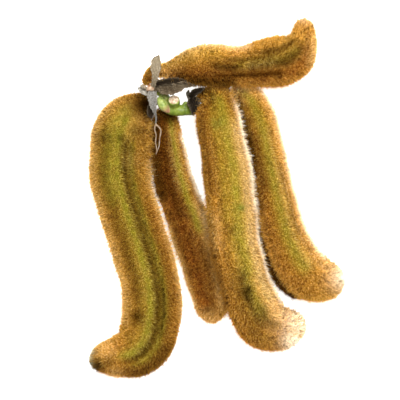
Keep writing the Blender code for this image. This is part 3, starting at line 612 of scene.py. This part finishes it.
def scatter(surface, count, random):
    """Points spread evenly over a pod's surface, thinner underneath: the values of every field there, and the area."""
    points = surface["points"]
    sides = points.shape[1]
    nxt = np.roll(points, -1, axis=1)
    area = np.linalg.norm(np.cross(nxt[:-1] - points[:-1], points[1:] - points[:-1]), axis=-1)
    weight = area * np.where(surface["normal"][:-1, :, 2] < UNDERSIDE, UNDERSIDE_HAIRS, 1.0)
    chosen = random.choice(weight.size, count, p=weight.ravel() / weight.sum())
    row, column = np.divmod(chosen, sides)
    s, t = random.random((2, count, 1))
    found = {}
    for key in ("points", "normal", "ahead", "inset", "across", "share"):
        field = surface[key]
        a, b = field[row, column], field[row, (column + 1) % sides]
        c, d = field[row + 1, column], field[row + 1, (column + 1) % sides]
        found[key] = (a * (1 - t) + b * t) * (1 - s) + (c * (1 - t) + d * t) * s
    found["normal"] = unit(found["normal"])
    found["turn"] = (column + t[:, 0]) / sides
    return found, area.sum()


def tufts(roots, area, random):
    """The roots of the tufts, and for each hair the number of the tuft that it belongs to."""
    centres = roots[random.choice(len(roots), int(area / TUFT_AREA), replace=False)]
    tree = kdtree.KDTree(len(centres))
    for index, centre in enumerate(centres):
        tree.insert(centre, index)
    tree.balance()
    return centres, np.array([tree.find(root)[1] for root in roots])


def hair_uvs(share, turn):
    """A cell of the map for each hair, side by side in the order in which they grow: rows along the pod, and columns
    round it."""
    count = len(share)
    rows = int(math.sqrt(count))
    columns = math.ceil(count / rows)
    order = np.argsort(share, kind="stable")
    cell = np.empty((count, 2))
    for row in range(rows):
        members = order[row * columns:(row + 1) * columns]
        members = members[np.argsort(turn[members], kind="stable")]
        cell[members, 0] = np.arange(len(members)) / columns
        cell[members, 1] = row / rows
    corners = np.array([(0.08, 0.08), (0.92, 0.08), (0.5, 0.92)]) * np.array([1 / columns, 1 / rows])
    return cell[:, None, :] + corners[None]


def hair_heights(look, found, tones, tuft, tuft_count, random):
    """The height of each hair, and which of the hairs are guard hairs."""
    share = found["share"][:, 0]
    height = found["inset"][:, 0] + ROOT_DEPTH + HAIR_PROUD * (1 - PALE_SHORTER * tones["pale"])
    height *= random.uniform(HAIR_SHORTEST, HAIR_SPREAD * HAIR_SHORTEST, len(height))
    height *= random.uniform(*TUFT_HEIGHTS, tuft_count)[tuft]
    guard = random.random(len(height)) < GUARD_SHARE
    height[guard] *= GUARD_LENGTH + GUARD_REACH * random.random(guard.sum()) ** GUARD_RARITY
    height[guard] *= 1 + GUARD_FLANK * (1 - np.abs(found["normal"][guard, 2]))
    height *= BASE_LENGTH + (1 - BASE_LENGTH) * np.clip(share / BASE_SHARE, 0, 1)
    height *= 1 + band_amount(look.get("long", ()), found["across"][:, 0], share)
    return height, guard


def hair_tones(look, tones, tuft, tuft_count, guard, random):
    """How light each hair is, from 0 to 1: mostly as its tuft is, and more alike in olive and pale places and in light
    places of painted light.
    """
    tone = TUFT_TONE * random.random(tuft_count)[tuft] + (1 - TUFT_TONE) * random.random(len(tuft))
    contrast = TONE_CONTRAST - TONE_CALM * np.maximum(tones["olive"], tones["light"])
    tone = 0.5 + (tone - 0.5) * contrast * look["grain"]
    tone += (PALE_TONE - tone) * PALE_CALM * tones["pale"]
    tone[guard] = random.uniform(*GUARD_TONES, guard.sum())
    return tone


def pod_nap(name, look, seed):
    """The nap of a pod: pointed blades that lean to its tip and close up in small tufts."""
    random = np.random.default_rng(seed)
    found, area = scatter(pod_surface(look, NAP_RINGS, NAP_SIDES), look["hairs"], random)
    normal, share = found["normal"], found["share"][:, 0]
    count = len(normal)
    roots = found["points"] - normal * (found["inset"] + ROOT_DEPTH)
    centres, tuft = tufts(roots, area, random)
    tones = paint(look, found["points"], found["across"][:, 0], share)
    # The pale colour, partly painted highlight, fades out where the nap turns downward
    tones["pale"] *= np.clip(1 + PALE_FALL * normal[:, 2], 0, 1)
    streaks = random.random(len(centres))[tuft] < STREAK_SHARE * tones["rust"]
    tones["pale"][streaks] *= STREAK_PALE
    tones["rust"] *= np.clip(1 - RUST_FALL * np.abs(normal[:, 2]), 0, 1)
    height, guard = hair_heights(look, found, tones, tuft, len(centres), random)
    lean = found["ahead"] * HAIR_LEAN + random.normal(0.0, HAIR_STRAY, (count, 3))
    lean += random.normal(0.0, TUFT_STRAY, (len(centres), 3))[tuft]
    direction = normal + lean - normal * (lean * normal).sum(-1, keepdims=True)
    tips = roots + direction * height[:, None] + (centres[tuft] - roots) * np.where(guard, 0.0, TUFT_PULL)[:, None]
    tips[:, 2] = np.maximum(tips[:, 2], HAIR_LOWEST)
    ahead = unit(tips - roots)
    broad = unit(np.cross(ahead, normal) + HAIR_TWIST * np.cross(ahead, random.normal(size=(count, 3))))
    width = HAIR_WIDTH * random.uniform(*HAIR_WIDTHS, count) * np.where(guard, GUARD_WIDTH, 1.0)
    broad *= (width * (1 + PALE_BROADER * tones["pale"]) / 2)[:, None]
    points = np.stack([roots - broad, roots + broad, tips], axis=1)
    points[:, :, 2] = np.maximum(points[:, :, 2], 0.0)
    flat = unit(np.cross(broad, ahead))
    turned = (flat * normal).sum(-1) < 0
    points[turned, :2] = points[turned, 1::-1]
    flat[turned] *= -1
    normals = np.repeat(unit(flat * FLAT_SHADE + normal * ROUND_SHADE)[:, None], 3, axis=1)
    tones["tone"] = hair_tones(look, tones, tuft, len(centres), guard, random)
    attributes = {key: np.repeat(value, 3) for key, value in tones.items()}
    attributes["rise"] = np.tile([0.0, 0.0, 1.0], count)
    return to_object(name + "_nap", points.reshape(-1, 3), np.arange(count * 3).reshape(-1, 3), attributes,
                     hair_uvs(share, found["turn"]), normals.reshape(-1, 3))


def stem_rings(line, bulge, sides=STEM_SIDES, pitch=STEM_PITCH):
    """Points and triangles of a round stem with rounded ends."""
    dense, along = smooth_line(line, 16)
    count = max(5, round(along[-1] / pitch))
    centre, ahead = at_lengths(dense, along, np.linspace(0.0, along[-1], count))
    hint = (0.0, 0.0, 1.0) if abs(ahead[:, 2]).max() < 0.9 else (0.0, 1.0, 0.0)
    spokes = around(*across_frame(ahead, hint), sides)
    rings = centre[:, None, :3] + centre[:, None, 3:4] * spokes
    ends = []
    for k, turn in ((0, -1), (-1, 1)):
        cap = [centre[k, :3] + centre[k, 3] * (spokes[k] * math.cos(a) + ahead[k] * turn * bulge * math.sin(a))
               for a in (0.5, 1.0)]
        ends.append(cap[::turn])
    body = np.concatenate([np.array(ends[0]), rings, np.array(ends[1])])
    return closed_rings(body, centre[0, :3] - ahead[0] * centre[0, 3] * bulge,
                        centre[-1, :3] + ahead[-1] * centre[-1, 3] * bulge)


def lobe_sheet(line, cup, seed):
    """A dry lobe: a thin waved blade with a ragged border, and its attributes: vein and edge."""
    random = np.random.default_rng(seed)
    dense, along = smooth_line(line, 24)
    length = along[-1]
    rows = max(12, round(length / LOBE_PITCH))
    columns = LOBE_COLUMNS + 1
    share = np.linspace(0.0, 1.0, rows)[:, None]
    centre, ahead = at_lengths(dense, along, share[:, 0] * length)
    side, out = across_frame(ahead)
    across = np.linspace(-1.0, 1.0, columns)[None, :]
    turns = 3.0 * share * (max(4, round(length / LOBE_WAVE_PITCH)) - 1)
    half_width = centre[:, 3][:, None]
    ragged = np.ones((rows, 2))
    for size, depth in LOBE_BORDER:
        ragged += depth * np.sin(share * length * 2 * math.pi / size + random.uniform(0, 6.3, 2)[None, :])
    wide = np.where(across < 0, ragged[:, :1], ragged[:, 1:])
    veins = np.cos(across * VEIN_TURNS * math.pi + 0.5 * np.sin(share * 7 + seed)) ** 6 * (1 - across ** 4)
    lift = LOBE_WAVE * np.sin(turns) * across * half_width - cup * (1 - across ** 2) + VEIN_HEIGHT * veins
    for height, turns_across, turns_along in LOBE_CREASES:
        lift = lift + height * np.sin(across * turns_across + share * length * turns_along + seed)
    thick = LOBE_THICKNESS * (0.30 + 0.5 * (1 - across ** 2)) * np.minimum(1.0, half_width / 0.8)
    sheets = []
    for turn in (0.5, -0.5):
        sheets.append(centre[:, None, :3] + side[:, None] * (across * wide * half_width)[..., None]
                      + out[:, None] * (lift + turn * thick)[..., None])
    faces = grid_faces(rows, columns, False)
    half = rows * columns
    grid = np.arange(half).reshape(rows, columns)
    a = np.concatenate([grid[:, 0], grid[-1, 1:], grid[-2::-1, -1], grid[0, -2:0:-1]])
    b = np.roll(a, -1)
    rim = np.vstack([np.stack([a, b, half + b], 1), np.stack([a, half + b, half + a], 1)])
    points = np.concatenate([sheet.reshape(-1, 3) for sheet in sheets])
    edge = np.broadcast_to(np.maximum(across ** 4, (share > 0.9) * 0.6), (rows, columns)).ravel()
    return (points, np.vstack([faces, faces[:, ::-1] + half, rim]),
            dict(vein=np.tile(np.broadcast_to(veins, (rows, columns)).ravel(), 2), edge=np.tile(edge, 2)))


def calyx(name, look, seed):
    """The dry calyx at a pod's base: its cup, scars, threads and lobes."""
    heap = Heap()
    for line, tint, scar in look["tubes"]:
        points, faces = stem_rings(line, TUBE_BULGE, TUBE_SIDES, TUBE_PITCH)
        middle = np.array(line)[:, :3].mean(0)
        radius = max(step[3] for step in line)
        points = points + unit(points - middle) * (ripple(points, 1.1, seed) * min(0.12 * radius, 0.12))[:, None]
        heap.add(points, faces, vein=np.clip(ripple(points, 0.6, seed + 1), 0, 1), edge=0.0, tint=tint, scar=scar,
                 pale=0.0)
    for number, (line, cup, tint, pale) in enumerate(look["lobes"]):
        points, faces, marks = lobe_sheet(line, cup, seed * 7 + number)
        heap.add(points, faces, tint=tint, scar=0.0, pale=pale, **marks)
    points, faces, tones = heap.arrays()
    return to_object(name + "_dry", points, faces, tones)


def melted(pieces, size):
    """The outer skin of closed pieces that run into each other: its points, triangles and normals."""
    heap = Heap()
    for points, faces in pieces:
        heap.add(points, faces)
    points, faces, _ = heap.arrays()
    rough = to_object("melting", points, faces)
    remesh = rough.modifiers.new("remesh", "REMESH")
    remesh.mode = "VOXEL"
    remesh.voxel_size = size * MM
    smooth = rough.modifiers.new("smooth", "SMOOTH")
    smooth.factor, smooth.iterations = 0.5, 3
    rough.modifiers.new("split", "TRIANGULATE")
    bpy.context.view_layer.update()
    mesh = bpy.data.meshes.new_from_object(rough.evaluated_get(bpy.context.evaluated_depsgraph_get()))
    skin = read(mesh.vertices, "co") / MM + BOX_MIDDLE, read(mesh.loops, "vertex_index", 1, np.int32)
    normals = read(mesh.vertices, "normal")
    bpy.data.objects.remove(rough, do_unlink=True)
    bpy.data.meshes.remove(mesh)
    return *skin, normals


def stalk():
    """The green stalk as one smooth skin, with its olive stems, cut face, bud and joints as attributes."""
    points, faces, normals = melted([stem_rings(line, bulge) for _, line, bulge in STEMS], STALK_GRAIN)
    nearest = np.full(len(points), 1e9)
    kind = np.zeros(len(points), int)
    share = np.zeros(len(points))
    for number, (_, line, _) in enumerate(STEMS):
        dense, along = smooth_line(line, 12)
        apart = np.linalg.norm(points[:, None] - dense[None, :, :3], axis=2) - dense[None, :, 3]
        best = apart.argmin(1)
        close = apart[np.arange(len(points)), best]
        better = close < nearest
        nearest[better], kind[better] = close[better], number
        share[better] = along[best[better]] / along[-1]
    kinds = np.array([entry[0] for entry in STEMS])[kind]
    cut_line = np.array([line for name, line, _ in STEMS if name == "cut"][0])
    axis = unit(cut_line[-1, :3] - cut_line[-2, :3])
    away = points - cut_line[-1, :3]
    height = away @ axis
    radial = np.linalg.norm(away - height[:, None] * axis, axis=1) / cut_line[-1, 3]
    tones = dict(olive=(kinds == "olive") * 1.0, bud=(kinds == "bud") * 1.0,
                 bud_end=(kinds == "bud") * np.clip((share - 0.55) / 0.3, 0, 1),
                 cut=(kinds == "cut") * np.clip((height + 0.35) / 0.25, 0, 1) * np.clip((0.92 - radial) / 0.15, 0, 1),
                 joint=sum(np.exp(-((points[:, 0] - x) / JOINT_WIDTH) ** 2) for x in STEM_JOINTS))
    push = sum(height * ripple(points, size, seed) for height, size, seed in STALK_RIPPLES)
    push += CUT_RIPPLE[0] * tones["cut"] * ripple(points, *CUT_RIPPLE[1:]) - JOINT_DEPTH * tones["joint"]
    return to_object("stalk_green", points + normals * push[:, None], faces, tones)


def linear(red, green, blue):
    """A colour given as it looks on a screen, from 0 to 255, as the shader takes it."""
    values = []
    for value in (red, green, blue):
        value /= 255
        values.append(value / 12.92 if value <= 0.04045 else ((value + 0.055) / 1.055) ** 2.4)
    return (*values, 1.0)


def shades(*stops):
    """Stops of a ramp, from places and colours as they look on a screen."""
    return [(place, linear(*colour)) for place, colour in stops]


class Finish:
    """A node material under construction."""

    def __init__(self, name, roughness, specular):
        self.made = bpy.data.materials.new(name)
        self.made.use_nodes = True
        self.tree = self.made.node_tree
        self.shader = self.tree.nodes["Principled BSDF"]
        self.shader.inputs["Roughness"].default_value = roughness
        self.shader.inputs["Specular IOR Level"].default_value = specular

    def put(self, socket, value):
        if isinstance(value, bpy.types.NodeSocket):
            self.tree.links.new(value, socket)
        else:
            socket.default_value = value

    def node(self, kind, **values):
        node = self.tree.nodes.new("ShaderNode" + kind)
        for name, value in values.items():
            self.put(node.inputs[name], value)
        return node

    def attribute(self, name):
        node = self.node("Attribute")
        node.attribute_name = name
        return node.outputs["Fac"]

    def noise(self, size, detail=3.0):
        """Noise from 0 to 1 with features of about size millimetres."""
        place = self.node("TexCoord").outputs["Object"]
        return self.node("TexNoise", Scale=1.0 / (size * MM), Detail=detail, Vector=place).outputs["Fac"]

    def math(self, operation, first, second, clamp=False):
        node = self.node("Math")
        node.operation = operation
        node.use_clamp = clamp
        self.put(node.inputs[0], first)
        self.put(node.inputs[1], second)
        return node.outputs[0]

    def ramp(self, factor, stops):
        """Colours along a factor: (place, colour) pairs."""
        node = self.node("ValToRGB", Fac=factor)
        points = node.color_ramp.elements
        while len(points) < len(stops):
            points.new(0.5)
        for point, (place, colour) in zip(points, stops):
            point.position = place
            point.color = colour
        return node.outputs["Color"]

    def mix(self, factor, first, second, blend="MIX"):
        node = self.node("Mix")
        node.data_type = "RGBA"
        node.blend_type = blend
        self.put(node.inputs["Factor"], factor)
        self.put(node.inputs["A"], first)
        self.put(node.inputs["B"], second)
        return node.outputs["Result"]

    def grain(self, size, *stops):
        """Colours along a noise."""
        return self.ramp(self.noise(size), shades(*stops))

    def over(self, name, below, above, strength=1.0):
        """One colour over another, as strongly as the attribute says."""
        factor = self.attribute(name)
        return self.mix(factor if strength == 1.0 else self.math("MULTIPLY", factor, strength), below, above)

    def patched(self, factor, places, colours):
        """Gold, with the other colours over it in places with uneven borders."""
        above = {name: self.ramp(factor, shades(*zip(places, stops))) for name, stops in colours.items()}
        result = above.pop("gold")
        for name, colour in above.items():
            uneven = self.math("ADD", self.noise(PATCH_SIZE), PATCH_LEAST)
            result = self.mix(self.math("MULTIPLY", self.attribute(name), uneven, True), result, colour)
        return result

    def darkened(self, colour):
        """The colour with its painted shade, in the dark and black places."""
        for name, darkness in DARKNESS.items():
            colour = self.over(name, colour, self.mix(1.0, colour, darkness, "MULTIPLY"))
        return colour

    def colour(self, socket):
        self.put(self.shader.inputs["Base Color"], socket)

    def bump(self, size, distance, strength):
        node = self.node("Bump", Distance=distance * MM, Strength=strength, Height=self.noise(size))
        self.put(self.shader.inputs["Normal"], node.outputs["Normal"])

    def translucent(self, colour, share):
        """Lets a share of the light through."""
        mixer = self.node("MixShader", Fac=share)
        self.put(mixer.inputs[1], self.shader.outputs["BSDF"])
        self.put(mixer.inputs[2], self.node("BsdfTranslucent", Color=colour).outputs["BSDF"])
        self.put(self.tree.nodes["Material Output"].inputs["Surface"], mixer.outputs["Shader"])


def nap_finish():
    """Hairs, darker at the root, partly as painted shade deep in the nap: golden, with brown, light, olive, green,
    pale, grey, dark and black places, and a tone for each hair. Dark and black places are painted shade, light places
    painted light, and pale places pale hairs with painted highlight."""
    finish = Finish("nap", 0.8, 0.0)
    rise = finish.attribute("rise")
    pale = finish.ramp(rise, shades(*NAP_PALE))
    rusty = finish.mix(1.0, pale, finish.ramp(rise, shades(*NAP_RUST)), "MULTIPLY")
    colour = finish.patched(rise, NAP_PLACES, NAP_COLOURS)
    colour = finish.over("green", colour, linear(112, 132, 52))
    colour = finish.over("pale", colour, finish.over("rust", pale, rusty))
    colour = finish.darkened(finish.over("grey", colour, linear(158, 166, 144)))
    colour = finish.mix(1.0, colour, finish.ramp(finish.attribute("tone"), TONES), "MULTIPLY")
    finish.colour(colour)
    finish.translucent(colour, 0.38)
    return finish.made


def wall_finish():
    """The pod's wall between the hairs, with the nap's places: painted shade in the dark and black ones, painted light
    in the light ones, and pale ones.
    """
    finish = Finish("pod_wall", 0.8, 0.0)
    colour = finish.patched(finish.noise(0.45), WALL_PLACES, WALL_COLOURS)
    finish.colour(finish.darkened(finish.over("pale", colour, linear(238, 226, 200))))
    finish.bump(0.5, 0.2, 0.6)
    return finish.made


def stalk_finish():
    """Fresh green stalk with pale specks, olive side stems, a pale bud, dark joints and a whitish cut face."""
    finish = Finish("stalk", 0.45, 0.2)
    colour = finish.grain(1.6, (0.3, (64, 80, 20)), (0.6, (90, 102, 30)), (0.75, (112, 124, 50)))
    colour = finish.over("olive", colour, finish.grain(1.2, (0.3, (60, 66, 16)), (0.7, (100, 104, 34))))
    colour = finish.over("bud", colour, finish.grain(1.0, (0.3, (82, 100, 36)), (0.7, (130, 138, 72))))
    colour = finish.over("bud_end", colour, linear(132, 98, 74))
    colour = finish.over("cut", colour, finish.grain(0.7, (0.3, (124, 90, 66)), (0.6, (178, 160, 136))))
    specks = finish.ramp(finish.noise(0.45, 1.0), [(0.66, (0, 0, 0, 1)), (0.72, (1, 1, 1, 1))])
    colour = finish.mix(finish.math("MULTIPLY", specks, 0.5), colour, linear(150, 156, 96))
    finish.colour(finish.over("joint", colour, linear(40, 54, 14), 0.6))
    finish.bump(0.6, 0.15, 0.5)
    return finish.made


def calyx_finish(name, stops):
    """Dry papery tissue: darker veins, paler worn borders, pinkish scars."""
    finish = Finish(name, 0.75, 0.03)
    tint = finish.math("ADD", finish.attribute("tint"), finish.math("MULTIPLY", finish.noise(1.8), 0.3))
    colour = finish.ramp(finish.math("SUBTRACT", tint, 0.15), stops)
    fibre = finish.ramp(finish.noise(0.35), [(0.35, (0.45, 0.42, 0.38, 1)), (0.65, (1.25, 1.25, 1.25, 1))])
    colour = finish.mix(1.0, colour, fibre, "MULTIPLY")
    colour = finish.over("vein", colour, linear(44, 36, 26), 0.6)
    colour = finish.over("edge", colour, linear(118, 104, 84), 0.35)
    scar = finish.grain(0.9, (0.35, (116, 66, 28)), (0.5, (156, 128, 104)), (0.7, (176, 158, 138)))
    colour = finish.over("scar", colour, scar)
    colour = finish.over("pale", colour, finish.grain(0.8, (0.35, (84, 76, 62)), (0.6, (160, 154, 142))))
    finish.colour(colour)
    finish.bump(0.4, 0.2, 0.8)
    finish.translucent(colour, 0.12)
    return finish.made


def dress(piece, finish, node):
    piece.data.materials.append(finish)
    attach(piece, "root")
    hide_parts(node)


def build_pods():
    nap, wall = nap_finish(), wall_finish()
    for seed, (name, look) in enumerate(PODS.items()):
        dress(pod_wall(name, look), wall, name)
        dress(pod_nap(name, look, seed), nap, name)


def build_calyxes():
    finishes = {
        "calyx": calyx_finish("calyx", shades((0.0, (120, 118, 113)), (0.35, (136, 124, 102)), (0.75, (58, 46, 32)),
                                              (1.0, (26, 19, 11)))),
        "calyx_dark": calyx_finish("calyx_dark", shades((0.0, (78, 70, 50)), (0.7, (30, 22, 12)),
                                                        (1.0, (14, 9, 5)))),
    }
    for seed, (name, look) in enumerate(CALYXES.items()):
        dress(calyx(name, look, 20 + seed), finishes[look["slot"]], name)


def build_stage():
    """A pale floor, an even sky, a soft lamp high on the upper right and a weak one on the lower left."""
    corners = [(x * FLOOR_REACH, y * FLOOR_REACH, FLOOR_HEIGHT) for x, y in ((-1, -1), (1, -1), (1, 1), (-1, 1))]
    floor = to_object("floor", corners, [(0, 1, 2), (0, 2, 3)])
    finish = Finish("floor", 0.9, 0.1)
    finish.colour((0.92, 0.92, 0.92, 1.0))
    finish.shader.inputs["Emission Color"].default_value = (1.0, 1.0, 1.0, 1.0)
    finish.shader.inputs["Emission Strength"].default_value = FLOOR_GLOW
    floor.data.materials.append(finish.made)
    world = bpy.data.worlds.new("studio")
    bpy.context.scene.world = world
    world.use_nodes = True
    sky = world.node_tree.nodes["Background"]
    sky.inputs["Color"].default_value = (1.0, 1.0, 1.0, 1.0)
    sky.inputs["Strength"].default_value = SKY_STRENGTH
    for name, place, size, power in LAMPS:
        lamp = bpy.data.lights.new(name, "AREA")
        lamp.size = size
        lamp.energy = power
        light = bpy.data.objects.new(name, lamp)
        light.location = place
        light.rotation_euler = (-Vector(place)).to_track_quat("-Z", "Y").to_euler()
        bpy.context.scene.collection.objects.link(light)
    bpy.context.scene.view_settings.view_transform = "Standard"


def build_camera():
    lens = bpy.data.cameras.new("camera")
    lens.sensor_width = CAMERA_SENSOR
    lens.lens = CAMERA_SENSOR * (CAMERA_PLACE[2] - SCALE_HEIGHT) / (PHOTO_PIXELS * PIXEL)
    camera = bpy.data.objects.new("camera", lens)
    camera.location = [value * MM for value in CAMERA_PLACE]
    bpy.context.scene.collection.objects.link(camera)
    bpy.context.scene.camera = camera


build_camera()
build_stage()
build_pods()
dress(stalk(), stalk_finish(), "rachis")
build_calyxes()
